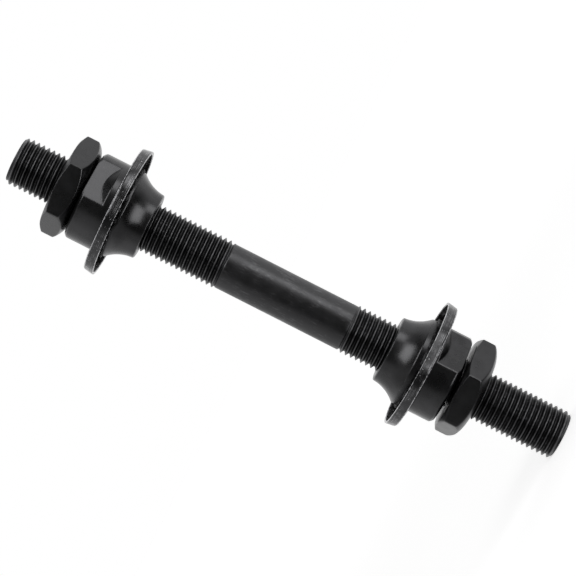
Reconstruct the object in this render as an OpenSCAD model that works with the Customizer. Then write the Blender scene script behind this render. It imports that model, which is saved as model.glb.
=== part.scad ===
// Bicycle hub axle set: a hollow threaded axle with two bearing cones, each
// with its pressed dust cap, and two hexagonal locknuts.
// Millimetres, +Z up. The axle stands on its lower end, the origin is the
// centre of that end. The fine thread is left as its plain major diameter.

/* [Axle] */
// Length of the axle from end to end
axle_len = 108; // [106:0.5:130]
// Outside diameter of both threaded lengths
thread_d = 9; // [8.8:0.05:9.4]
// Diameter of the plain shank between the threads
shank_d = 8.5; // [7.6:0.05:8.6]
// Diameter of the bore for the quick-release skewer
bore_d = 5.3; // [5.1:0.1:6]
// Length of the thread at the lower end
lower_thread_len = 42; // [36:0.5:44]
// Length of the thread at the upper end
upper_thread_len = 42.4; // [36:0.5:44]
// Chamfer at both ends of the axle and at the start of its bore
end_chamfer = 0.6; // [0.2:0.1:0.8]

/* [Cones] */
// Height of the lower cone's outer face above the axle's lower end
lower_cone_z = 21.5; // [16:0.02:26]
// Distance of the upper cone's outer face below the axle's upper end
upper_cone_drop = 13.57; // [8:0.05:18]
// Length of a cone from its outer face to its nose
cone_len = 12.85; // [12:0.05:15]
// Diameter of a cone's round body, which is also the seat of its dust cap
cone_d = 16.5; // [16:0.1:17.5]
// Width across the two spanner flats
cone_flats = 14.2; // [13.6:0.1:15]
// Length of the lower cone's flats from its outer face, along their middle
lower_flat_len = 3.4; // [2.6:0.1:3.6]
// Length of the conical run-out from those flats up to the round body
lower_flat_runout = 1.1; // [0.6:0.1:1.2]
// Length of the upper cone's flats from its outer face, along their middle
upper_flat_len = 2.7; // [2.4:0.1:3]
// Length of the conical run-out from those flats up to the round body
upper_flat_runout = 1.6; // [0.8:0.1:1.8]
// Chamfer round the outer face
cone_chamfer = 0.5; // [0.2:0.1:0.8]
// Radius of the nose, where the ball race starts
nose_r = 6.15; // [5.8:0.05:6.4]
// Bevel between the race and the nose face
nose_bevel = 0.35; // [0.1:0.05:0.5]
// Radius of the hollow arc that the balls run in, seen in section
race_arc_r = 7; // [6.8:0.1:8]
// Distance from the nose face back to the arc's smallest radius
race_lead = 0.15; // [0:0.05:0.4]
// Turn of the lower cone's flats about the axle, in degrees
lower_flats_turn = 43; // [0:1:180]
// Turn of the upper cone's flats about the axle, in degrees
upper_flats_turn = 28; // [0:1:180]

/* [Dust caps] */
// Distance from a cone's outer face to the lower dust cap's web
lower_cap_at = 4.75; // [4.7:0.05:5.5]
// Distance from a cone's outer face to the upper dust cap's web
upper_cap_at = 5.25; // [4.7:0.05:5.5]
// Thickness of the pressed sheet
cap_sheet = 0.45; // [0.4:0.05:0.7]
// Diameter over the edge of the flared lip
lip_d = 24.3; // [23.8:0.1:26]
// Diameter of the lip where it leaves the rounded corner
lip_root_d = 23.6; // [21.5:0.1:23.7]
// Depth of the cap from its web to the edge of the lip
cap_depth = 2.55; // [2.2:0.05:3.2]
// Length of the turned-in collar that grips the cone
collar_len = 2.35; // [1.8:0.05:2.7]
// Outer radius of the corner between web and lip
cap_corner = 0.8; // [0.75:0.05:1]
// Dish of the web between the collar and the corner
web_dish = 0.25; // [0:0.05:0.4]

/* [Locknuts] */
// Width across the flats of a locknut
nut_flats = 16.5; // [16:0.1:17.6]
// Diameter over the slightly rounded corners
nut_corners = 19; // [18.7:0.1:19.4]
// Thickness of a locknut
nut_thick = 4.7; // [4.2:0.1:6]
// Radius of the crown's rounding, from its flat face out to the corners
crown_r = 6.2; // [5.8:0.1:8]
// Diameter of the flat face in the middle of the crown
crown_face_d = 10.4; // [10:0.1:12]
// Diameter of the flat face on the chamfered side
nut_face_d = 16.3; // [15.5:0.1:16.4]
// Angle of that side's chamfer, in degrees
nut_chamfer_deg = 28; // [20:1:40]
// Gap between the lower cone and its loosened locknut
lower_nut_gap = 0.7; // [0.1:0.02:1]
// Turn of the lower locknut about the axle, in degrees
lower_nut_turn = -16; // [-60:1:60]
// Turn of the upper locknut about the axle, in degrees
upper_nut_turn = -7; // [-60:1:60]

/* [Clearances] */
// Radial running clearance between the axle's thread and what turns on it
thread_gap = 0.04; // [0.02:0.01:0.1]
// Radial running clearance between a cone's seat and its dust cap
seat_gap = 0.02; // [0.01:0.01:0.1]
// Gap between the upper cone and the locknut that is tight against it
tight_gap = 0.02; // [0.01:0.01:0.1]

/* [Hidden] */
$fn = 72;
// Overshoot of a cutting shape past the face it cuts
cut = 0.5;
thread_r = thread_d / 2;
shank_r = shank_d / 2;
bore_r = bore_d / 2;
tapped_r = thread_r + thread_gap;
// Lead-in at both mouths of a tapped hole
tapped_lead = 0.25;
cone_r = cone_d / 2;
cap_hole_r = cone_r + seat_gap;
lip_r = lip_d / 2;
lip_root_r = lip_root_d / 2;
// Radius of the small bend from the web into the collar
collar_bend = cap_sheet / 2;
// Easing of the collar's free edge
collar_ease = cap_sheet / 3;
// Height of the arc's centre above the outer face, and its distance from the axis
race_z = cone_len + race_lead;
race_centre_r = nose_r + race_arc_r;
upper_cone_z = axle_len - upper_cone_drop;
lower_nut_z = lower_cone_z - lower_nut_gap - nut_thick;
upper_nut_z = upper_cone_z + tight_gap;
nut_chamfer = (nut_corners - nut_face_d) / 2 * tan(nut_chamfer_deg);

// Points of an arc about c with radius r, from angle a to angle b in n steps
function arc(c, r, a, b, n) =
    [for (i = [0:n]) let (t = a + (b - a) * i / n) c + r * [cos(t), sin(t)]];

// Tapped hole through a piece of height h, drawn at its major diameter
module tapped_hole(h) {
    translate([0, 0, -cut]) cylinder(r = tapped_r, h = h + 2 * cut);
    for (end = [0, 1])
        translate([0, 0, end * h]) mirror([0, 0, end])
            translate([0, 0, -cut])
                cylinder(r1 = tapped_r + tapped_lead + cut, r2 = tapped_r,
                         h = tapped_lead + cut);
}

// Hollow axle: threaded ends, plain shank between their run-outs
module axle() {
    run_out = thread_r - shank_r;
    color("dimgray")
        difference() {
            rotate_extrude()
                polygon([
                    [0, 0],
                    [thread_r - end_chamfer, 0],
                    [thread_r, end_chamfer],
                    [thread_r, lower_thread_len - run_out],
                    [shank_r, lower_thread_len],
                    [shank_r, axle_len - upper_thread_len],
                    [thread_r, axle_len - upper_thread_len + run_out],
                    [thread_r, axle_len - end_chamfer],
                    [thread_r - end_chamfer, axle_len],
                    [0, axle_len]
                ]);
            translate([0, 0, -cut]) cylinder(r = bore_r, h = axle_len + 2 * cut);
            for (end = [0, 1])
                translate([0, 0, end * axle_len]) mirror([0, 0, end])
                    translate([0, 0, -cut])
                        cylinder(r1 = bore_r + end_chamfer / 2 + cut, r2 = bore_r,
                                 h = end_chamfer / 2 + cut);
        }
}

// Section of a cone: round body, hollow race, bevelled nose
module cone_section() {
    difference() {
        polygon([
            [0, 0],
            [cone_r - cone_chamfer, 0],
            [cone_r, cone_chamfer],
            [cone_r, cone_len - nose_bevel],
            [nose_r + nose_bevel, cone_len - nose_bevel],
            [nose_r - nose_bevel, cone_len],
            [0, cone_len]
        ]);
        translate([race_centre_r, race_z]) circle(r = race_arc_r);
    }
}

// What the milling cutter leaves of a cone with flats of length len: the slab
// between the flats, and the round stock past the conical run-out
module flats_envelope(len, run_out) {
    half = cone_flats / 2;
    translate([-half, -cone_r - cut, -cut])
        cube([cone_flats, 2 * (cone_r + cut), cone_len + 2 * cut]);
    rotate_extrude()
        polygon([
            [0, len],
            [half, len],
            [cone_r, len + run_out],
            [cone_r + cut, len + run_out],
            [cone_r + cut, cone_len + cut],
            [0, cone_len + cut]
        ]);
}

// Bearing cone with its outer face at z = 0 and its nose up
module bearing_cone(len, run_out) {
    difference() {
        intersection() {
            rotate_extrude() cone_section();
            flats_envelope(len, run_out);
        }
        tapped_hole(cone_len);
    }
}

// Section of a dust cap: collar, dished web, rounded corner, flared lip
module cap_section() {
    corner = [lip_root_r - cap_corner, web_dish + cap_corner];
    polygon(concat(
        arc([cap_hole_r + collar_bend, collar_bend], collar_bend, 180, 270, 4),
        arc(corner, cap_corner, -90, 0, 6),
        [[lip_r, cap_depth], [lip_r - cap_sheet, cap_depth]],
        arc(corner, cap_corner - cap_sheet, 0, -90, 4),
        [
            [cap_hole_r + cap_sheet, cap_sheet],
            [cap_hole_r + cap_sheet, collar_len - collar_ease],
            [cap_hole_r + cap_sheet - collar_ease, collar_len],
            [cap_hole_r + collar_ease / 2, collar_len],
            [cap_hole_r, collar_len - collar_ease / 2]
        ]
    ));
}

// Dust cap with its web at z = 0 and its lip up
module dust_cap() {
    rotate_extrude() cap_section();
}

// Section that a locknut's corners are turned to: a flat face with a chamfer
// below, and a crown rounded off from its own flat face above
module nut_section() {
    intersection() {
        polygon([
            [0, 0],
            [nut_face_d / 2, 0],
            [nut_corners / 2, nut_chamfer],
            [nut_corners / 2, nut_thick],
            [0, nut_thick]
        ]);
        union() {
            square([crown_face_d / 2, nut_thick]);
            translate([crown_face_d / 2, nut_thick - crown_r])
                circle(r = crown_r);
        }
    }
}

// Locknut with its chamfered face at z = 0 and its crown up
module locknut() {
    difference() {
        intersection() {
            rotate([0, 0, 30])
                cylinder(r = nut_flats / sqrt(3), h = nut_thick, $fn = 6);
            rotate_extrude() nut_section();
        }
        tapped_hole(nut_thick);
    }
}

module lower_cone() {
    color("slategray")
        translate([0, 0, lower_cone_z]) rotate([0, 0, lower_flats_turn - 90])
            bearing_cone(lower_flat_len, lower_flat_runout);
}

module upper_cone() {
    color("slategray")
        translate([0, 0, upper_cone_z]) rotate([0, 0, upper_flats_turn - 90])
            mirror([0, 0, 1]) bearing_cone(upper_flat_len, upper_flat_runout);
}

module lower_dust_cap() {
    color("silver")
        translate([0, 0, lower_cone_z + lower_cap_at]) dust_cap();
}

module upper_dust_cap() {
    color("silver")
        translate([0, 0, upper_cone_z - upper_cap_at]) mirror([0, 0, 1]) dust_cap();
}

// Both locknuts go on the same way up, so the lower one shows its crown
// outwards and the upper one turns it to its cone
module lower_locknut() {
    color("darkgray")
        translate([0, 0, lower_nut_z + nut_thick])
            rotate([0, 0, lower_nut_turn - 90]) mirror([0, 0, 1]) locknut();
}

module upper_locknut() {
    color("darkgray")
        translate([0, 0, upper_nut_z + nut_thick])
            rotate([0, 0, upper_nut_turn - 90]) mirror([0, 0, 1]) locknut();
}

axle();
lower_cone();
upper_cone();
lower_dust_cap();
upper_dust_cap();
lower_locknut();
upper_locknut();
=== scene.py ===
"""Dressed model of a bicycle hub axle set that stands on its lower end.

The frame is metric with +Z along the axle. Sizes in the classes are in
millimetres and angles are in degrees unless a name says otherwise. Every
visible surface is worked out with numpy as grids of points round the axle,
and the finishes are procedural node materials.
"""
import logging
import math
from dataclasses import dataclass, replace
from enum import Enum
from typing import Sequence

import bpy
import numpy as np
from mathutils import Matrix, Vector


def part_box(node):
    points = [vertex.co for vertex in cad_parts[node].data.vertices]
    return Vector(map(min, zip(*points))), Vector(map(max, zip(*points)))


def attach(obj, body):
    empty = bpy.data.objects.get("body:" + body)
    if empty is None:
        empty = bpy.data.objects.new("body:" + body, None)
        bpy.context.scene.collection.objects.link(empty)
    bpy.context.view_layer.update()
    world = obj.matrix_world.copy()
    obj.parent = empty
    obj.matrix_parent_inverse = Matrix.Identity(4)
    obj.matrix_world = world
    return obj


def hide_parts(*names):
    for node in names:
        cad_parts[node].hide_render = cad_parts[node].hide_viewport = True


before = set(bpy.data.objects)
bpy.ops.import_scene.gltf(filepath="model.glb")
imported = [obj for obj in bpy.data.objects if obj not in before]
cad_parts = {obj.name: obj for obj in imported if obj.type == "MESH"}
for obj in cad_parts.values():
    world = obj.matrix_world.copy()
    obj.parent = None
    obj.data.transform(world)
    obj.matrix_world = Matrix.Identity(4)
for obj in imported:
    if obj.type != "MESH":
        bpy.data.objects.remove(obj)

LOG = logging.getLogger("hub_axle")
MM = 0.001
FULL_TURN = 2.0 * math.pi
SIXTH_TURN = math.pi / 3
# The camera's side as a turn about the axle
CAMERA_SIDE_DEG = -90.0
WELD = 2e-8  # Vertices closer than this many metres are one
LEAST_STEP = 1e-3  # Between two columns of a grid, in radians
# Share of a column bundle's spread that follows the cube of the place in it
BUNDLE_PULL = 0.6
# A bend takes at most this share of the shorter side beside its corner
BEND_SHARE = 0.42
GUARD_BENDS = 1.25  # Distance of a bend's outer points from its corner
CURVE_BENDS = 1.6  # Length of a bend's curve
FREE = 99.0  # Radius that stands for no limit
NOISE_SPAN = (0.3, 0.7)  # Where most values of a noise lie
BLUE_SHARE = 1.03  # Blue of a grey, as a share of its red
Array = np.ndarray
Values = float | Array
Socket = bpy.types.NodeSocket
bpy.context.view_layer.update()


class End(Enum):
    """Which end of the axle a piece belongs to."""

    LOWER = "lower"
    UPPER = "upper"


class Slot(Enum):
    """Material slots of the record."""

    AXLE = "axle_steel"
    CONE = "cone_steel"
    CAP = "cap_steel"
    NUT = "nut_steel"


class Scuff(Enum):
    """Which way the light scuffs of a finish run."""

    NONE = "none"
    ALONG = "along the axle"
    ROUND = "round the axle"


def smooth_step(low: float, high: float, x: Array) -> Array:
    """Cubic ramp from 0 at low to 1 at high.

    Args:
        low: Where the ramp starts.
        high: Where the ramp ends.
        x: Values to ramp.

    Returns:
        3t^2 - 2t^3 with t the clamped share of the way from low to high.
    """
    t = np.clip((x - low) / (high - low), 0.0, 1.0)
    return t * t * (3.0 - 2.0 * t)


def soft_min(a: Values, b: Values, width: Values) -> Array:
    """Smaller of two values, rounded where they cross.

    Args:
        a: First values.
        b: Second values.
        width: Size of the rounding, in the values' unit.

    Returns:
        Half of a + b - sqrt((a - b)^2 + width^2).
    """
    return 0.5 * (a + b - np.sqrt((a - b) ** 2 + width ** 2))


def soft_max(a: Values, b: Values, width: Values) -> Array:
    """Larger of two values, rounded where they cross, as in soft_min."""
    return -soft_min(-a, -b, width)


def worn(shape: tuple[int, ...], edges: Sequence[tuple]) -> Array:
    """Wear of a wall whose edges rub.

    Args:
        shape: Shape of the wall's grid.
        edges: For each edge its wear, the radii a and b of the two surfaces
            that cross there, and its width.

    Returns:
        The largest wear x exp(-((a - b) / width)^2) at each point.
    """
    return np.maximum.reduce([
        np.broadcast_to(wear * np.exp(-(((a - b) / width) ** 2)), shape)
        for wear, a, b, width in edges])


@dataclass
class Patch:
    """Grid of surface points: rows along a profile, columns round the axle.

    Attributes:
        points: Array (rows, columns, 3) in millimetres.
        wear: Array (rows, columns), 1 where an edge rubs bright.
        tone: Array (rows, columns), from 0 in deep oxide to 1 in pale oxide;
            on the dust cap 0 marks its darker side that faces the balls.
    """

    points: Array
    wear: Array
    tone: Array

    def flipped(self) -> "Patch":
        """The same surface with its rows in reverse, which turns its faces."""
        return Patch(self.points[::-1], self.wear[::-1], self.tone[::-1])

    def moved(self, points: Array) -> "Patch":
        """The same surface at other points."""
        return Patch(points, self.wear, self.tone)


def turned(radius: Values, height: Values, turn: Array,
           wear: Values = 0.0, tone: Values = 0.5) -> Patch:
    """Surface round the axle from a radius and a height at each grid point.

    The point is (r cos t, r sin t, z) with t the column's turn. Rows that go
    up the outside give faces that point outwards.

    Args:
        radius: Radii, broadcast to (rows, columns) as all others here.
        height: Heights.
        turn: Angles of the columns in radians, one full turn, both ends.
        wear: Edge wear.
        tone: Paleness of the oxide.

    Returns:
        The grid.
    """
    r, z, t = np.broadcast_arrays(radius, height, turn[None, :])
    points = np.stack([r * np.cos(t), r * np.sin(t), z], axis=-1)
    return Patch(points, np.broadcast_to(wear, r.shape).copy(),
                 np.broadcast_to(tone, r.shape).copy())


def rounded_path(corners: Sequence[Sequence[float]], bends: Sequence[float],
                 steps: int, line: float) -> tuple[Array, Array]:
    """Polyline whose inner corners are rounded by quadratic curves.

    Each corner B becomes (1-t)^2 A + 2t(1-t) B + t^2 C, where A and C lie one
    bend before and after B on its two sides, with one more point a little
    further out on each side so that the flats beside it shade flat.

    Args:
        corners: Points (radius, height); the two ends stay as they are.
        bends: Bend length at each inner corner.
        steps: Points on each curve.
        line: Half width of the line that rubs bright on each curve.

    Returns:
        The path's points (n, 2) and a value that is 1 at the middle of each
        outward corner and falls off as exp(-(distance / line)^2).
    """
    p = np.array(corners)
    b = p[1:-1]
    back, ahead = p[:-2] - b, p[2:] - b
    size_back = np.linalg.norm(back, axis=1, keepdims=True)
    size_ahead = np.linalg.norm(ahead, axis=1, keepdims=True)
    d = np.minimum(np.array(bends)[:, None],
                   BEND_SHARE * np.minimum(size_back, size_ahead))
    unit_back, unit_ahead = back / size_back, ahead / size_ahead
    t = np.linspace(0.0, 1.0, steps)[None, :, None]
    a, c = b + d * unit_back, b + d * unit_ahead
    curve = ((1 - t) ** 2 * a[:, None] + 2 * t * (1 - t) * b[:, None]
             + t ** 2 * c[:, None])
    before = (b + GUARD_BENDS * d * unit_back)[:, None]
    after = (b + GUARD_BENDS * d * unit_ahead)[:, None]
    rows = np.concatenate([before, curve, after], axis=1)
    lift = np.zeros((len(b), steps + 2))
    convex = (unit_back[:, 0] * unit_ahead[:, 1]
              - unit_back[:, 1] * unit_ahead[:, 0]) < 0
    from_middle = CURVE_BENDS * d * (t[..., 0] - 0.5)
    lift[:, 1:-1] = np.exp(-(from_middle / line) ** 2)
    lift *= convex[:, None]
    path = np.concatenate([p[:1], rows.reshape(-1, 2), p[-1:]])
    edge = np.concatenate([[0.0], lift.ravel(), [0.0]])
    return path, edge


def columns(count: int, focus: Sequence[float] = (), spread: float = 0.0,
            extra: int = 0) -> Array:
    """Angles of the grid's columns over one full turn.

    Args:
        count: Evenly spaced columns.
        focus: Angles in radians round which more columns stand.
        spread: Half width in radians of each such bundle.
        extra: Columns in each bundle.

    Returns:
        Increasing angles from 0 to a full turn, both included.
    """
    even = np.linspace(0.0, FULL_TURN, count + 1)
    if extra:
        share = np.linspace(-1.0, 1.0, extra)
        bundle = (np.asarray(focus)[:, None]
                  + spread * share ** 3 * BUNDLE_PULL
                  + spread * share * (1.0 - BUNDLE_PULL)).ravel() % FULL_TURN
        even = np.unique(np.round(np.concatenate([even, bundle]), 6))
        keep = np.concatenate([[True], np.diff(even) > LEAST_STEP])
        even = even[keep]
        even[0], even[-1] = 0.0, FULL_TURN
    return even


def stretches(stops: Sequence[float], steps: Sequence[int]) -> Array:
    """Heights of rows in stretches that each have their own spacing.

    Args:
        stops: Borders of the stretches.
        steps: Steps in each stretch.

    Returns:
        The heights, without the first stop.
    """
    return np.concatenate([np.linspace(a, b, n + 1)[1:] for a, b, n in zip(
        stops[:-1], stops[1:], steps)])


def weld(name: str, patches: Sequence[Patch]) -> bpy.types.Object:
    """One closed mesh object from grids that share their border points.

    Neighbouring points of each grid make quads. Points that coincide become
    one vertex, and a quad that shrinks to a line or a point is left out.

    Args:
        name: Name of the object.
        patches: Grids whose faces all point outwards.

    Returns:
        The object, at the origin, with wear and tone as point attributes.
    """
    points = np.concatenate([q.points.reshape(-1, 3) for q in patches]) * MM
    quads, start = [], 0
    for q in patches:
        rows, cols = q.wear.shape
        i = start + np.arange(rows * cols).reshape(rows, cols)
        quads.append(np.stack([i[:-1, :-1], i[:-1, 1:], i[1:, 1:], i[1:, :-1]],
                              axis=-1).reshape(-1, 4))
        start += rows * cols
    quads = np.concatenate(quads)
    key = np.round(points / WELD).astype(np.int64)
    _, first, index = np.unique(key, axis=0, return_index=True,
                                return_inverse=True)
    index = index.ravel()
    quads = index[quads]
    same_next = quads == np.roll(quads, -1, axis=1)
    across = (quads[:, 0] == quads[:, 2]) | (quads[:, 1] == quads[:, 3])
    whole = ~same_next.any(axis=1) & ~across
    # A quad with one pair of equal neighbours is a triangle
    thin = (same_next.sum(axis=1) == 1) & ~across
    lost = np.argmax(same_next[thin], axis=1)
    order = (lost[:, None] + np.array([[1, 2, 3]])) % 4
    triangles = np.take_along_axis(quads[thin], order, axis=1)
    mesh = bpy.data.meshes.new(name)
    mesh.from_pydata(points[first], [],
                     quads[whole].tolist() + triangles.tolist())
    for mark in ("wear", "tone"):
        values = np.concatenate([getattr(q, mark).ravel() for q in patches])
        mesh.attributes.new(mark, "FLOAT", "POINT").data.foreach_set(
            "value", values[first].astype(np.float32))
    mesh.shade_smooth()
    mesh.update()
    obj = bpy.data.objects.new(name, mesh)
    bpy.context.scene.collection.objects.link(obj)
    return obj


def grey(level: float) -> tuple[float, float, float, float]:
    """Opaque grey of a linear level, a trace cooler than neutral."""
    return level, level, level * BLUE_SHARE, 1.0


class Graph:
    """Small helper that adds and links shader nodes of one tree."""

    def __init__(self, tree: bpy.types.NodeTree, seed: float = 0.0) -> None:
        """Empties the tree and adds its coordinates.

        Args:
            tree: The tree.
            seed: Shift of its noises, in metres.
        """
        self.tree = tree
        tree.nodes.clear()
        self.place = self.add("TexCoord").outputs
        self.shift = (seed, seed * 0.7, -seed)

    def add(self, kind: str, **values: object) -> bpy.types.Node:
        """Adds a node.

        Args:
            kind: Name of the node's type without "ShaderNode".
            **values: Properties by name, then inputs: a key that starts with
                "in_" sets the input of that name or number or links to it.

        Returns:
            The node.
        """
        node = self.tree.nodes.new("ShaderNode" + kind)
        for key, value in values.items():
            if not key.startswith("in_"):
                setattr(node, key, value)
                continue
            name = key[3:].replace("_", " ")
            socket = node.inputs[int(name) if name.isdigit() else name]
            if isinstance(value, Socket):
                self.tree.links.new(value, socket)
            else:
                socket.default_value = value
        return node

    def math(self, operation: str, a: object, b: object = 0.0,
             c: object = 0.0) -> Socket:
        """One arithmetic step; a, b and c are numbers or sockets."""
        return self.add("Math", operation=operation, in_0=a, in_1=b,
                        in_2=c).outputs[0]

    def ramp(self, value: Socket, low: float, high: float,
             to_low: float = 0.0, to_high: float = 1.0) -> Socket:
        """Smooth step of a value from low to high onto another range."""
        return self.add("MapRange", interpolation_type="SMOOTHSTEP",
                        in_Value=value, in_From_Min=low, in_From_Max=high,
                        in_To_Min=to_low, in_To_Max=to_high).outputs[0]

    def noise(self, size_mm: float, detail: float, rough: float,
              stretch: Sequence[float] = (1, 1, 1),
              turn: Sequence[float] = (0, 0, 0)) -> Socket:
        """Noise between 0 and 1 on the stretched, turned, shifted place."""
        mapping = self.add("Mapping", in_Vector=self.place["Object"],
                           in_Scale=stretch, in_Location=self.shift,
                           in_Rotation=turn)
        return self.add("TexNoise", in_Vector=mapping.outputs[0],
                        in_Scale=1.0 / (size_mm * MM), in_Detail=detail,
                        in_Roughness=rough).outputs[0]

    def mix(self, share: Socket, a: object, b: object) -> Socket:
        """Colour a where share is 0 and colour b where it is 1."""
        # A mix of colours has its inputs at 6 and 7 and its output at 2
        return self.add("Mix", data_type="RGBA", in_0=share, in_6=a,
                        in_7=b).outputs[2]


@dataclass(frozen=True)
class OxideSteel:
    """Black-oxide steel with mottling, fine grain and rubbed edges.

    Attributes:
        name: Name of the material.
        dark: Linear grey of the deepest oxide.
        light: Linear grey of the thin, paler oxide.
        bare: Linear grey where the oxide is rubbed off.
        rough: Lowest and highest roughness of the oxide.
        metallic: How much of the surface reflects as metal.
        mottle_mm: Size of the mottling.
        mottle: Strength of the mottling, as a share of dark to light.
        rubbed: How far the rubbing spreads from the edges, 0 to 1.
        broken: How much a rubbed line is broken up, 0 to 1.
        specks: Strength of scattered rubbed specks, 0 to 1.
        dull: How much less metallic the rubbed places are, 0 to 1.
        chalky: Extra roughness where the tone is 0.
        turned_lines: Strength of the lathe's fine rings in the bump.
        grain: Strength of the fine grain in the bump.
        scuff: Which way light scuffs run.
        scuffs: Strength of those scuffs, 0 to 1.
        seed: Shift of the patterns, in metres.
        speck_mm: Size of the specks, as the next ones of grain, lathe's
            rings, scuffs and their patches; bump_mm is the bump's depth.
    """

    name: str
    dark: float
    light: float
    bare: float
    rough: tuple[float, float]
    metallic: float = 0.97
    mottle_mm: float = 3.0
    mottle: float = 0.5
    rubbed: float = 0.5
    broken: float = 0.35
    specks: float = 0.2
    dull: float = 0.3
    chalky: float = 0.0
    turned_lines: float = 0.0
    grain: float = 0.15
    scuff: Scuff = Scuff.NONE
    scuffs: float = 0.0
    seed: float = 0.0
    speck_mm: float = 0.45
    grain_mm: float = 0.16
    ring_mm: float = 0.11
    streak_mm: float = 0.3
    patch_mm: float = 2.2
    bump_mm: float = 0.02

    def at(self, end: End, seed: float) -> "OxideSteel":
        """The same finish with the end's name and its own pattern."""
        return replace(self, name=f"{end.value}_{self.name}", seed=seed)

    def build(self) -> bpy.types.Material:
        """Builds the node material.

        The oxide's grey goes from dark to light with the tone attribute plus
        a soft noise. Rubbed metal shows where the wear attribute times a
        noise passes a threshold, in scattered specks and in scuffs. The
        threshold falls from 0.75 to 0.05 as the rubbing spreads.

        Returns:
            The material.
        """
        material = bpy.data.materials.new(self.name)
        material.use_nodes = True
        g = Graph(material.node_tree, self.seed)
        mottle = g.noise(self.mottle_mm, 4.0, 0.6)
        speck = g.noise(self.speck_mm, 3.0, 0.55)
        grain = g.noise(self.grain_mm, 2.0, 0.6)
        wear = g.add("Attribute", attribute_name="wear").outputs["Fac"]
        tone = g.add("Attribute", attribute_name="tone").outputs["Fac"]
        cloud = g.ramp(mottle, *NOISE_SPAN, -0.5, 0.5)
        tone = g.math("MULTIPLY_ADD", cloud, self.mottle, tone)
        rub = g.math("MULTIPLY", wear, g.ramp(speck, 0.3, 0.66,
                                              1.0 - self.broken, 1.0))
        rub = g.ramp(rub, 0.75 - 0.7 * self.rubbed, 1.1 - 0.5 * self.rubbed)
        spots = g.math("MULTIPLY", g.ramp(speck, 0.66, 0.72), self.specks)
        rub = g.math("MAXIMUM", rub, spots)
        if self.scuff is not Scuff.NONE:
            rub = g.math("MAXIMUM", rub, g.math(
                "MULTIPLY", self.streaks(g), self.scuffs))
        oxide = g.mix(g.ramp(tone, 0.0, 1.0), grey(self.dark),
                      grey(self.light))
        colour = g.mix(rub, oxide, grey(self.bare))
        rough = g.ramp(mottle, *NOISE_SPAN, *self.rough)
        rough = g.math("MULTIPLY_ADD", g.ramp(tone, 0.5, 0.0), self.chalky,
                       rough)
        height = g.math("MULTIPLY", grain, self.grain)
        if self.turned_lines:
            height = g.math("MULTIPLY_ADD", self.rings(g),
                            self.turned_lines, height)
        bump = g.add("Bump", in_Strength=0.35,
                     in_Distance=self.bump_mm * MM, in_Height=height)
        shader = g.add("BsdfPrincipled", in_Base_Color=colour,
                       in_Roughness=rough, in_Metallic=g.math(
                           "MULTIPLY_ADD", rub, -self.dull, self.metallic),
                       in_Normal=bump.outputs[0])
        g.add("OutputMaterial", in_Surface=shader.outputs[0])
        return material

    def streaks(self, g: Graph) -> Socket:
        """Light scuffs in patches, along the axle or round it.

        Args:
            g: Graph of the material.

        Returns:
            A line noise times a patch noise, each ramped to 0 and 1.
        """
        if self.scuff is Scuff.ALONG:
            line = g.noise(self.streak_mm, 4.0, 0.65,
                           stretch=(1.0, 1.0, 0.22), turn=(0.0, 0.35, 0.0))
        else:
            line = self.rings(g)
        patchy = g.noise(self.patch_mm, 3.0, 0.6)
        return g.math("MULTIPLY", g.ramp(line, 0.48, 0.66),
                      g.ramp(patchy, 0.42, 0.62))

    def rings(self, g: Graph) -> Socket:
        """Fine rings round the axle.

        Args:
            g: Graph of the material.

        Returns:
            Noise of the radius plus the height.
        """
        x, y, z = g.add("SeparateXYZ", in_Vector=g.place["Object"]).outputs
        radius = g.math("SQRT", g.math("ADD", g.math("MULTIPLY", x, x),
                                       g.math("MULTIPLY", y, y)))
        along = g.math("ADD", radius, z)
        return g.add("TexNoise", noise_dimensions="1D", in_W=along,
                     in_Scale=1.0 / (self.ring_mm * MM),
                     in_Detail=2.0).outputs[0]


@dataclass
class Piece:
    """A part of the set that replaces one CAD node.

    Attributes:
        node: CAD node that it stands for.
        body: CAD body that it rides on.
        slot: Material slot of the record; not used.
        finish: Its finish.
    """

    node: str
    body: str
    slot: Slot
    finish: OxideSteel

    def patches(self) -> list[Patch]:
        """Surface grids of the piece; each kind of piece works out its own."""
        raise NotImplementedError

    def build(self) -> bpy.types.Object:
        """Builds, dresses and mounts the piece on its body.

        Returns:
            The finished object.
        """
        obj = weld(self.node + "_dressed", self.patches())
        obj.data.materials.append(self.finish.build())
        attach(obj, self.body)
        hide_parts(self.node)
        LOG.info("%s: %d faces", obj.name, len(obj.data.polygons))
        return obj


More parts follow.
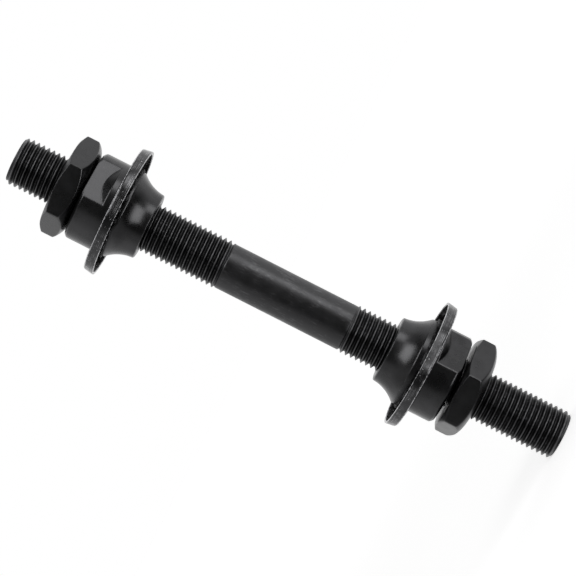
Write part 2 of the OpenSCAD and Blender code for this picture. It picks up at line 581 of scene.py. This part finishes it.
@dataclass
class ThreadedAxle(Piece):
    """Hollow axle with a rolled right-hand thread at both ends."""

    length: float = 108.0
    crest_r: float = 4.5
    root_r: float = 3.92
    shank_r: float = 4.25
    bore_r: float = 2.65
    pitch: float = 1.0
    lower_thread: float = 42.45
    upper_thread: float = 41.55
    run_out: float = 0.5
    upper_lead: float = 0.6
    end_chamfer: float = 0.6
    crest_half: float = 0.055
    crest_soft: float = 0.02
    root_soft: float = 0.08
    # Depths below the crest between which its wear sets in
    worn_depth: tuple[float, float] = (0.09, 0.02)
    # Distances from the axle's end, and from the thread's, where oxide pales
    pale_end: tuple[float, float] = (1.7, 0.5)
    pale_ring: tuple[float, float] = (1.2, 0.7)
    shank_rows: int = 25
    bore_rows: int = 9
    facets: int = 76
    # Rows in one pitch: crest, flank, root, flank
    phases: tuple[float, ...] = (0.0, 0.045, 0.08, 0.23, 0.375, 0.42, 0.5,
                                 0.58, 0.625, 0.77, 0.92, 0.955)

    def thread_radius(self, phase: Array) -> Array:
        """Radius of the thread's section at a phase of its pitch.

        The crest stands at phase 0 and the root at 0.5. A 60-degree flank
        joins them, and both are rounded off by soft minima.

        Args:
            phase: Position along the axle as a share of the pitch.

        Returns:
            Radii in millimetres.
        """
        away = np.abs((phase + 0.5) % 1.0 - 0.5) * self.pitch
        flank = (self.crest_r + self.crest_half * math.sqrt(3)
                 - away * math.sqrt(3))
        top = soft_min(flank, self.crest_r, self.crest_soft)
        return soft_max(top, self.root_r, self.root_soft)

    def outside(self, height: Array, turn: Array
                ) -> tuple[Array, Array, Array]:
        """Radius, wear and tone of the outside at heights and turns.

        The thread follows (z - lead) / pitch - turn / full turn, where only
        the upper thread has a lead. It fades into the shank over the
        run-out, and the end chamfers cut it.

        Args:
            height: Heights in millimetres.
            turn: Angles in radians.

        Returns:
            Radii, wear and tone.
        """
        upper = height > self.length / 2
        lead = np.where(upper, self.upper_lead, 0.0)
        phase = (height - lead) / self.pitch - turn / FULL_TURN
        thread = self.thread_radius(phase)
        from_end = np.minimum(height, self.length - height)
        to_shank = np.where(upper, self.upper_thread,
                            self.lower_thread) - from_end
        plain = smooth_step(self.run_out, 0.0, to_shank)
        radius = thread + (self.shank_r - thread) * plain
        crest = smooth_step(*self.worn_depth, self.crest_r - radius)
        chamfer = self.crest_r - self.end_chamfer + from_end
        near_end = smooth_step(*self.pale_end, from_end)
        ring = smooth_step(*self.pale_ring, to_shank)
        return (np.minimum(radius, chamfer), crest * (1.0 - plain),
                np.maximum(ring, near_end))

    def threaded(self, low: float, high: float, turn: Array) -> Patch:
        """Outside between two heights, on rows that follow the thread.

        Row k stands at pitch * (its phase + turn / full turn), so the crest
        and root lie on rows; heights are clamped to the stretch.

        Args:
            low: Lower end in millimetres.
            high: Upper end in millimetres.
            turn: Column angles.

        Returns:
            The grid.
        """
        first = math.floor(low / self.pitch) - 2
        last = math.ceil(high / self.pitch) + 1
        lead = self.upper_lead if low > self.length / 2 else 0.0
        rows = (np.arange(first, last)[:, None] + np.asarray(self.phases)[None]
                ).ravel() * self.pitch + lead
        height = rows[:, None] + self.pitch * turn[None] / FULL_TURN
        height = np.clip(height, low, high)
        radius, wear, tone = self.outside(height, turn[None])
        return turned(radius, height, turn, wear, tone)

    def patches(self) -> list[Patch]:
        """Works out the axle from its foot to its head, then its bore.

        Returns:
            Foot, lower thread, shank, upper thread, head and bore.
        """
        turn = columns(self.facets)
        top = self.length
        shank_top = top - self.upper_thread
        shank = np.linspace(self.lower_thread, shank_top, self.shank_rows)
        plain = turned(self.shank_r, shank[:, None], turn, tone=1.0)
        foot_r, head_r = (self.outside(np.array([[z]]), turn[None])[0]
                          for z in (0.0, top))
        lip = self.end_chamfer / 2
        mouth = np.repeat([[self.bore_r], [self.bore_r + lip]], len(turn), 1)
        foot = turned(np.concatenate([mouth, foot_r]),
                      np.array([[lip], [0.0], [0.0]]), turn)
        head = turned(np.concatenate([head_r, mouth[::-1]]),
                      np.array([[top], [top], [top - lip]]), turn)
        hole = turned(self.bore_r, np.linspace(
            top - lip, lip, self.bore_rows)[:, None], turn)
        return [foot, self.threaded(0.0, self.lower_thread, turn), plain,
                self.threaded(shank_top, top, turn), head, hole]


@dataclass
class BoredPiece(Piece):
    """Piece with a tapped hole, worked out from its own face at height 0.

    Attributes:
        face_z: Height of that face in the frame.
        upwards: Whether the piece points up from it.
        turn_deg: Turn about the axle.
    """

    face_z: float = 0.0
    upwards: bool = True
    turn_deg: float = 0.0
    bore_r: float = 4.54
    lead: float = 0.25
    edge_ease: float = 0.12

    def place(self, patch: Patch) -> Patch:
        """Puts a local grid into the frame.

        Height z becomes face_z + z or face_z - z, the turn is added, and the
        rows are reversed where the piece points down.

        Args:
            patch: Grid in the piece's own frame.

        Returns:
            Grid in the frame.
        """
        a = math.radians(self.turn_deg)
        x, y, z = np.moveaxis(patch.points, -1, 0)
        sign = 1.0 if self.upwards else -1.0
        moved = np.stack([x * math.cos(a) - y * math.sin(a),
                          x * math.sin(a) + y * math.cos(a),
                          self.face_z + sign * z], axis=-1)
        placed = patch.moved(moved)
        return placed if self.upwards else placed.flipped()

    def wall(self, z: Array, turn: Array) -> tuple[Array, Array]:
        """Radius and wear of the side wall; each kind works out its own."""
        raise NotImplementedError

    def closed(self, rows: Array, turn: Array) -> list[Patch]:
        """Faces, bore and side wall of the piece.

        The two faces run straight from the hole's lead-in to the wall's
        first and last rows.

        Args:
            rows: Heights of the wall's rows.
            turn: Column angles.

        Returns:
            Grids in the frame.
        """
        wall_z, top = rows[:, None], rows[-1]
        wall_r, wall_wear = self.wall(wall_z, turn)
        mouth = self.bore_r + self.lead
        # Rows of a face from its hole to its rim, closer at both
        share = np.array([0.0, 0.05, 0.5, 0.9, 0.985, 1.0])[:, None]
        foot_r = mouth + (wall_r[:1] - mouth) * share
        head_r = mouth + (wall_r[-1:] - mouth) * share[::-1]
        face_wear = np.array([0.25, 0.1, 0.0, 0.0, 0.2, 0.4])[:, None]
        bore_r = np.array([mouth, self.bore_r, self.bore_r, self.bore_r,
                           mouth])[:, None]
        bore_z = np.array([top, top - self.lead, top / 2, self.lead,
                           0.0])[:, None]
        return [self.place(turned(foot_r, 0.0, turn, face_wear)),
                self.place(turned(wall_r, wall_z, turn, wall_wear)),
                self.place(turned(head_r, top, turn, face_wear[::-1])),
                self.place(turned(bore_r, bore_z, turn))]

    def eased(self, from_end: Array) -> Array:
        """How far the wall draws in near an end, as a rounded edge.

        The inset is e - sqrt(e^2 - (e - s)^2) with s the distance from the
        end and e the easing.

        Args:
            from_end: Distances of the rows from the end.

        Returns:
            Insets in millimetres.
        """
        e = self.edge_ease
        s = np.clip(from_end, 0.0, e)
        return e - np.sqrt(np.maximum(e ** 2 - (e - s) ** 2, 0.0))


@dataclass
class BearingCone(BoredPiece):
    """Bearing cone: round body, milled flats, hollow race and nose."""

    length: float = 12.85
    body_r: float = 8.25
    flats: float = 14.2
    flat_len: float = 3.4
    flat_runout: float = 1.1
    chamfer: float = 0.5
    nose_r: float = 6.15
    nose_bevel: float = 0.35
    nose_slope: float = 2.0
    race_arc_r: float = 7.0
    race_lead: float = 0.15
    edge_soft: float = 0.10
    # Rounding of the flats' sides and of the crisper end of their run-out
    flat_soft: tuple[float, float] = (0.09, 0.03)
    # Heights between which the shoulder's rows stand closer
    shoulder: tuple[float, float] = (7.7, 8.6)
    near_flat: float = 0.4

    def wall(self, z: Array, turn: Array) -> tuple[Array, Array]:
        """Radius and wear of the side wall.

        The turned outline is the least of chamfer, body, race arc and nose
        bevel. The flats allow apothem / |cos t|, and past them the run-out
        allows a cone that widens from the apothem to the body.

        Args:
            z: Heights (rows, 1).
            turn: Column angles.

        Returns:
            Radii and wear (rows, columns).
        """
        edge = self.body_r - self.chamfer + z
        body = self.body_r
        from_centre = z - self.length - self.race_lead
        arc = self.nose_r + self.race_arc_r - np.sqrt(np.maximum(
            self.race_arc_r ** 2 - from_centre ** 2, 0.0))
        arc = np.where(z < self.length - self.race_arc_r, FREE, arc)
        bevel = self.nose_r - self.nose_bevel + self.nose_slope * (
            self.length - z)
        outline = edge
        for limit in (body, arc, bevel):
            outline = soft_min(outline, limit, self.edge_soft)
        half = self.flats / 2
        slab = half / np.maximum(np.abs(np.cos(turn)), 0.05)[None]
        cone = half + (self.body_r - half) / self.flat_runout * (
            z - self.flat_len)
        allowed = soft_max(slab, cone, 0.05)
        side_soft, end_soft = self.flat_soft
        soft = side_soft - (side_soft - end_soft) * smooth_step(
            -0.1, 0.4, cone - slab)
        radius = soft_min(outline, allowed, soft)
        wear = worn(radius.shape, [
            (0.55, edge, body, 0.16), (0.65, body, arc, 0.14),
            (0.75, arc, bevel, 0.18),
            (0.6 * (slab > cone), outline, allowed, 0.10)])
        return radius - self.eased(np.minimum(z, self.length - z)), wear

    def patches(self) -> list[Patch]:
        """Works out the wall with close rows at its edges.

        Returns:
            Wall, two faces and bore.
        """
        flat_edge = math.acos(self.flats / 2 / self.body_r)
        turn = columns(240, [s * flat_edge + o for s in (1, -1)
                             for o in (0.0, math.pi)], 0.10, 17)
        e = self.edge_ease
        bend = e * (1 - np.cos(np.linspace(0, math.pi / 2, 6)))
        flat_end = self.flat_len + self.flat_runout + self.near_flat
        rows = np.concatenate([bend, stretches(
            (e, 1.0, self.flat_len - self.near_flat, flat_end,
             *self.shoulder, self.length - 0.5, self.length - e),
            (11, 7, 25, 5, 11, 25, 9)), self.length - bend[::-1][1:]])
        return self.closed(rows, turn)


@dataclass
class Locknut(BoredPiece):
    """Hexagonal locknut: chamfer on one side, rounded crown on the other."""

    thick: float = 4.7
    flats: float = 16.5
    corners: float = 19.0
    crown_r: float = 6.2
    crown_face_r: float = 5.2
    face_r: float = 8.15
    chamfer_deg: float = 28.0
    corner_soft: float = 0.10
    edge_soft: float = 0.12
    # Heights of the bands in which rows stand closer, from their own face
    chamfer_band: float = 0.85
    crown_band: float = 1.95

    def wall(self, z: Array, turn: Array) -> tuple[Array, Array]:
        """Radius and wear of the side wall.

        A facet allows apothem / cos of the angle from its middle, the
        corners are rounded by a circle, the chamfer widens by 1 / tan of its
        angle with the height, and the crown is a quarter circle that starts
        at the rim of its flat face: f + sqrt(r^2 - (z - centre)^2).

        Args:
            z: Heights (rows, 1), 0 at the chamfered face.
            turn: Column angles, 0 at the middle of a facet.

        Returns:
            Radii and wear (rows, columns).
        """
        half = SIXTH_TURN / 2
        off = (turn + half) % SIXTH_TURN - half
        hexagon = (self.flats / 2 / np.cos(off))[None]
        corner = self.corners / 2
        side = soft_min(hexagon, corner, self.corner_soft)
        chamfer = self.face_r + z / math.tan(
            math.radians(self.chamfer_deg))
        centre = self.thick - self.crown_r
        crown = self.crown_face_r + np.sqrt(np.maximum(
            self.crown_r ** 2 - (z - centre) ** 2, 0.0))
        radius = soft_min(soft_min(side, chamfer, self.edge_soft), crown,
                          self.edge_soft)
        wear = worn(radius.shape, [
            (0.6, hexagon, corner, 0.12), (0.7, side, chamfer, 0.16),
            (0.7, side, crown, 0.13)])
        return radius - self.eased(z), wear

    def patches(self) -> list[Patch]:
        """Works out the wall with close rows under chamfer and crown.

        Returns:
            Wall, two faces and bore.
        """
        corners = (np.arange(6) + 0.5) * SIXTH_TURN
        turn = columns(216, corners, 0.09, 13)
        e = self.edge_ease
        bend = e * (1 - np.cos(np.linspace(0, math.pi / 2, 5)))
        # Rows draw together towards the crown's face, where it runs flat
        crown = self.thick - self.crown_band * np.linspace(1, 0, 40) ** 2
        rows = np.concatenate([bend, stretches(
            (e, self.chamfer_band, crown[0]), (19, 7))[:-1], crown])
        return self.closed(rows, turn)


@dataclass
class DustCap(BoredPiece):
    """Pressed sheet cap: gripping collar, dished web and flared lip."""

    hole_r: float = 8.27
    sheet: float = 0.45
    lip_r: float = 12.15
    lip_root_r: float = 11.8
    depth: float = 2.55
    collar: float = 2.35
    corner: float = 0.35
    dish: float = 0.42
    off_round: float = 0.07
    tilt_x_deg: float = 0.0
    shallow: float = 0.0
    flare_loss: float = 0.10
    front_power: float = 1.5
    curve_rows: int = 13
    worn_line: float = 0.15
    collar_wear: float = 0.15

    def shallower(self, patch: Patch) -> Patch:
        """Lip that is less deep on one side, as an uneven press left it.

        With u the share of the way from the web to the lip's edge, r the
        radius and f = ((1 - y / r) / 2)^1.5, heights lose shallow * u * f.
        The lip also flares less there: radii grow by flare_loss (1 - u) f,
        faded in from the collar to the lip's root. The collar stays.

        Args:
            patch: Grid in the cap's own frame.

        Returns:
            The changed grid.
        """
        x, y, z = np.moveaxis(patch.points, -1, 0)
        r = np.hypot(x, y)
        web = self.dish + self.sheet
        u = np.clip((z - web) / (self.depth - web), 0.0, 1.0)
        u = np.where(r > self.hole_r + 2 * self.sheet, u, 0.0)
        front = ((1.0 - y / r) / 2) ** self.front_power
        fade = smooth_step(self.hole_r + 2 * self.sheet,
                           self.lip_root_r - self.sheet, r)
        grow = 1.0 + self.flare_loss * (1.0 - u) * front * fade / r
        return patch.moved(np.stack(
            [x * grow, y * grow, z - self.shallow * u * front], axis=-1))

    def bent(self, patch: Patch) -> Patch:
        """Lip as it came off the press: off its centre and a little crooked.

        With w the cubic ramp from the collar to the lip's root and d the
        offset, each ring loses w d of its radius and its centre moves w d
        towards +X, and its height grows by w x tan a.

        Args:
            patch: Grid in the frame.

        Returns:
            The bent grid.
        """
        x, y, z = np.moveaxis(patch.points, -1, 0)
        r = np.hypot(x, y)
        w = smooth_step(self.hole_r + 2 * self.sheet, self.lip_root_r, r)
        slim = 1.0 - w * self.off_round / r
        lift = x * math.tan(math.radians(self.tilt_x_deg))
        points = np.stack([x * slim + w * self.off_round, y * slim,
                           z + w * lift], axis=-1)
        return patch.moved(points)

    def patches(self) -> list[Patch]:
        """Carries one closed section round the axle and bends it a little.

        Returns:
            The whole cap as one grid.
        """
        s = self.sheet
        hole, root, lip = self.hole_r, self.lip_root_r, self.lip_r
        corners = [
            (hole, self.collar * 0.5), (hole, 0.0),
            (root, self.dish), (lip, self.depth), (lip - s, self.depth),
            (root - s, self.dish + s), (hole + s, s),
            (hole + s, self.collar), (hole, self.collar),
            (hole, self.collar * 0.5)]
        # One bend for each corner between the two ends
        bends = [0.3, self.corner, 0.13, 0.13, 0.35, 0.3, 0.16, 0.1]
        path, edge = rounded_path(corners, bends, self.curve_rows,
                                  self.worn_line)
        turn = columns(240)
        # The side that faces the balls, inside the lip, gets tone 0 and so the
        # cap finish's darker grey
        mouth = int(np.argmax(path[:, 1] > self.depth - 1e-6))
        outside = np.arange(len(path)) <= mouth + self.curve_rows + 2
        # The collar's edges stay under the cone's shoulder and hardly rub
        edge = np.where(path[:, 0] < hole + 2 * s, self.collar_wear * edge,
                        edge)
        ring = turned(path[:, :1], path[:, 1:], turn, edge[:, None],
                      outside[:, None].astype(float))
        return [self.bent(self.place(self.shallower(ring)))]


@dataclass(frozen=True)
class Softbox:
    """Rectangular soft lamp that looks at the object.

    Attributes:
        name: Name of the lamp.
        azimuth: Turn from the camera's side towards +X, in degrees.
        elevation: Angle above the horizon, in degrees.
        distance: Distance from the object's middle, in metres.
        size: Width and height in metres.
        radiance: Brightness of its surface, where 1 is white.
    """

    name: str
    azimuth: float
    elevation: float
    distance: float
    size: tuple[float, float]
    radiance: float

    def build(self, aim: Sequence[float]) -> None:
        """Adds the lamp; its power is radiance times pi times its area.

        Args:
            aim: Point that it looks at, in metres.
        """
        lamp = bpy.data.lights.new(self.name, "AREA")
        lamp.shape = "RECTANGLE"
        lamp.size, lamp.size_y = self.size
        lamp.energy = self.radiance * math.pi * self.size[0] * self.size[1]
        obj = bpy.data.objects.new(self.name, lamp)
        a, e = math.radians(self.azimuth), math.radians(self.elevation)
        away = np.array([math.sin(a) * math.cos(e),
                         -math.cos(a) * math.cos(e), math.sin(e)])
        side = np.array([math.cos(a), math.sin(a), 0.0])
        put(obj, np.asarray(aim) + self.distance * away,
            [side, np.cross(away, side), away])
        LOG.info("lamp %s", self.name)


def put(obj: bpy.types.Object, place: Array, axes: Sequence[Array]) -> None:
    """Puts a lamp or camera into the scene.

    Args:
        obj: The object.
        place: Its place.
        axes: Unit vectors of its X, Y and Z.
    """
    obj.location = place
    obj.rotation_euler = Matrix(np.stack(axes, axis=1).tolist()).to_euler()
    bpy.context.scene.collection.objects.link(obj)


@dataclass
class Studio:
    """Camera, floor, surroundings and lamps.

    Attributes:
        scale_px_mm: Picture elements per millimetre at the axle.
        distance_px: Camera's distance from the axle, in picture elements.
        tilt_deg: Slope of the axle in the picture.
        aim_mm: Point at the picture's middle, as (x, z).
        eye_z_mm: Height of the camera.
        picture_px: Width of the picture.
        floor_half: Half the floor's width, in metres.
        floor_grey: How much light the floor gives back.
        floor_glow: Its glow near the axle and far from it.
        glow_span: Distances from the axle of these two, in metres.
        side_glow: Extra brightness of the surroundings towards +X.
        dim_ends: Share by which they are darker overhead and below.
        far_wall: Brightness of the wall towards -X.
        levels: Surroundings from the camera's side to the background, as
            places from 0 to 1 with their brightness.
        lamps: The soft boxes.
    """

    scale_px_mm: float = 5.655
    distance_px: float = 2500.0
    tilt_deg: float = 26.96
    aim_mm: tuple[float, float] = (1.53, 54.9)
    eye_z_mm: float = 60.1
    picture_px: int = 576
    floor_half: float = 6.0
    floor_grey: float = 0.8
    floor_glow: tuple[float, float] = (0.66, 0.78)
    glow_span: tuple[float, float] = (0.1, 0.5)
    side_glow: float = 0.28
    dim_ends: float = 0.92
    far_wall: float = 0.18
    levels: tuple[tuple[float, float], ...] = (
        (0.0, 0.04), (0.12, 0.045), (0.3, 0.1), (0.41, 0.2), (0.6, 0.38),
        (0.85, 0.6), (0.94, 0.85), (1.0, 1.0))
    lamps: tuple[Softbox, ...] = (
        Softbox("upper_side_box", 57.0, 0.0, 0.6, (0.27, 0.5), 1.35),
        Softbox("high_front_box", 18.0, 47.0, 0.6, (0.50, 0.34), 1.8),
        Softbox("low_front_box", 21.0, -40.0, 0.6, (0.50, 0.34), 1.8))

    def camera(self) -> None:
        """Sets the camera at the photograph's angle.

        The axle's +Z points to the picture's upper left at the slope, and +X
        to its upper right, so the picture's right is sin X - cos Z and its up
        is cos X + sin Z.
        """
        data = bpy.data.cameras.new("photo_camera")
        data.lens = data.sensor_width * self.distance_px / self.picture_px
        data.clip_start, data.clip_end = 0.01, 20.0
        obj = bpy.data.objects.new("photo_camera", data)
        aim = np.array([self.aim_mm[0], 0.0, self.aim_mm[1]]) * MM
        eye = np.array([self.aim_mm[0], -self.distance_px / self.scale_px_mm,
                        self.eye_z_mm]) * MM
        back = (eye - aim) / np.linalg.norm(eye - aim)
        a = math.radians(self.tilt_deg)
        up = np.array([math.cos(a), 0.0, math.sin(a)])
        up -= back * float(up @ back)
        up /= np.linalg.norm(up)
        put(obj, eye, [np.cross(up, back), up, back])
        bpy.context.scene.camera = obj

    def floor(self) -> None:
        """Pale floor that shows white to the camera but keeps a shadow.

        Its glow rises with the distance from the axle, so that the floor is
        white all over and the soft shadow round the foot isn't washed out.
        """
        mesh = bpy.data.meshes.new("studio_floor")
        x, y = np.meshgrid(*[[-self.floor_half, self.floor_half]] * 2)
        points = np.stack([x.ravel(), y.ravel(), np.zeros(4)], axis=1)
        mesh.from_pydata(points, [], [(0, 1, 3, 2)])
        obj = bpy.data.objects.new("studio_floor", mesh)
        bpy.context.scene.collection.objects.link(obj)
        material = bpy.data.materials.new("floor_white")
        material.use_nodes = True
        g = Graph(material.node_tree)
        away = g.add("VectorMath", operation="LENGTH",
                     in_0=g.place["Object"]).outputs["Value"]
        white = g.add("Emission", in_Color=(1, 1, 1, 1),
                      in_Strength=g.ramp(away, *self.glow_span,
                                         *self.floor_glow))
        matt = g.add("BsdfDiffuse", in_Color=(self.floor_grey,) * 3 + (1,))
        both = g.add("AddShader", in_0=white.outputs[0],
                     in_1=matt.outputs[0])
        seen = g.add("LightPath").outputs["Is Camera Ray"]
        pick = g.add("MixShader", in_0=seen, in_1=matt.outputs[0],
                     in_2=both.outputs[0])
        g.add("OutputMaterial", in_Surface=pick.outputs[0])
        mesh.materials.append(material)
        obj.visible_glossy = False

    def surroundings(self) -> None:
        """White background with a darker studio on the camera's side.

        Camera rays see white. Other rays see a level that rises with the
        direction's y from the dark camera side to the white background, plus
        a side glow that grows with the fourth power of its x. Both are
        dimmed overhead and below on the camera's half. A dim wall on the -X
        side starts 33 to 48 degrees off the camera.
        """
        world = bpy.data.worlds.new("studio")
        bpy.context.scene.world = world
        world.use_nodes = True
        g = Graph(world.node_tree)
        x, y, z = g.add("SeparateXYZ",
                        in_Vector=g.place["Generated"]).outputs
        side = g.math("POWER", g.math("MAXIMUM", x, 0.0), 4.0)
        ramp = g.add("ValToRGB", in_0=g.math("MULTIPLY_ADD", y, 0.5, 0.5))
        elements = ramp.color_ramp.elements
        for at, _ in self.levels[1:-1]:
            elements.new(at)
        for element, (_, level) in zip(elements, self.levels):
            element.color = (level, level, level, 1)
        level = g.math("MULTIPLY_ADD", side, self.side_glow,
                       ramp.outputs[0])
        ends = g.math("MULTIPLY", g.ramp(g.math("ABSOLUTE", z), 0.35, 0.85),
                      g.ramp(y, 0.4, 0.0))
        level = g.math("MULTIPLY", level, g.math(
            "MULTIPLY_ADD", ends, -self.dim_ends, 1.0))
        across = g.math("SQRT", g.math("MAXIMUM", g.math(
            "MULTIPLY_ADD", z, g.math("MULTIPLY", z, -1.0), 1.0), 0.0001))
        wall = g.math("MULTIPLY", g.ramp(g.math("DIVIDE", x, across), -0.55,
                                         -0.74), g.ramp(y, 0.35, -0.1))
        level = g.math("MULTIPLY_ADD", wall, self.far_wall, level)
        dim = g.add("Background", in_Color=level, in_Strength=1.0)
        white = g.add("Background", in_Color=(1, 1, 1, 1), in_Strength=1.0)
        seen = g.add("LightPath").outputs["Is Camera Ray"]
        pick = g.add("MixShader", in_0=seen, in_1=dim.outputs[0],
                     in_2=white.outputs[0])
        g.add("OutputWorld", in_Surface=pick.outputs[0])

    def build(self) -> None:
        """Builds the whole studio."""
        self.camera()
        self.floor()
        self.surroundings()
        for lamp in self.lamps:
            lamp.build((0.0, 0.0, self.aim_mm[1] * MM))
        bpy.context.scene.view_settings.view_transform = "Standard"


def node_span(node: str) -> tuple[float, float]:
    """Lowest and highest point of a CAD node, in millimetres."""
    low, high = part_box(node)
    return low[2] / MM, high[2] / MM


@dataclass(frozen=True)
class Trim:
    """What differs between the ends, with turns from the camera's side.

    The seeds are those of cone, dust cap and locknut.
    """

    cone_turn_deg: float
    flat_len: float
    flat_runout: float
    cap_tilt_deg: float
    cap_shallow: float
    nut_turn_deg: float
    seeds: tuple[float, float, float]


TRIMS = {
    End.LOWER: Trim(43.0, 3.4, 1.1, -1.0, 0.40, -16.0, (0.031, 0.011, 0.041)),
    End.UPPER: Trim(28.0, 2.7, 1.6, 0.5, 0.42, -7.0, (0.057, 0.023, 0.067)),
}
AXLE_FINISH = OxideSteel(
    "axle_oxide", dark=0.04, light=0.12, bare=0.26, rough=(0.34, 0.44),
    mottle_mm=2.4, mottle=0.3, rubbed=0.6, broken=0.42, specks=0.22,
    dull=0.1, scuff=Scuff.ALONG, scuffs=0.5, seed=0.013)
CONE_FINISH = OxideSteel(
    "cone_oxide", dark=0.08, light=0.125, bare=0.42, rough=(0.25, 0.31),
    mottle=0.4, rubbed=0.42, specks=0.05, turned_lines=0.25)
CAP_FINISH = OxideSteel(
    "cap_oxide", dark=0.012, light=0.115, bare=0.95, rough=(0.17, 0.25),
    mottle_mm=1.3, mottle=0.5, rubbed=0.66, broken=0.6, specks=0.8,
    dull=0.75, chalky=0.5, grain=0.3, scuff=Scuff.ROUND, scuffs=0.4)
NUT_FINISH = OxideSteel(
    "nut_oxide", dark=0.09, light=0.12, bare=0.42, rough=(0.26, 0.34),
    metallic=0.96, mottle=0.4, rubbed=0.4, specks=0.04, grain=0.2)


def pieces() -> list[Piece]:
    """Lists the set's pieces, placed by the CAD nodes' boxes.

    Returns:
        The axle, then cone, dust cap and locknut of each end.
    """
    made: list[Piece] = [ThreadedAxle("axle", "axle", Slot.AXLE, AXLE_FINISH)]
    for end, trim in TRIMS.items():
        n, up = end.value, end is End.LOWER
        # Cones and caps stand on their outer faces and point inwards
        outer = 0 if up else 1
        made += [
            BearingCone(
                f"{n}_cone", f"{n}_cone", Slot.CONE,
                CONE_FINISH.at(end, trim.seeds[0]),
                face_z=node_span(f"{n}_cone")[outer], upwards=up,
                turn_deg=trim.cone_turn_deg + CAMERA_SIDE_DEG,
                flat_len=trim.flat_len, flat_runout=trim.flat_runout),
            DustCap(
                f"{n}_dust_cap", f"{n}_cap", Slot.CAP,
                CAP_FINISH.at(end, trim.seeds[1]),
                face_z=node_span(f"{n}_dust_cap")[outer], upwards=up,
                tilt_x_deg=trim.cap_tilt_deg, shallow=trim.cap_shallow),
            Locknut(
                f"{n}_locknut", f"{n}_locknut", Slot.NUT,
                NUT_FINISH.at(end, trim.seeds[2]),
                face_z=node_span(f"{n}_locknut")[1], upwards=False,
                turn_deg=trim.nut_turn_deg + CAMERA_SIDE_DEG)]
    return made


def main() -> None:
    """Builds the studio and every piece, and logs each."""
    logging.basicConfig(level=logging.INFO, format="%(name)s: %(message)s")
    Studio().build()
    for piece in pieces():
        piece.build()


if __name__ == "__main__":
    main()
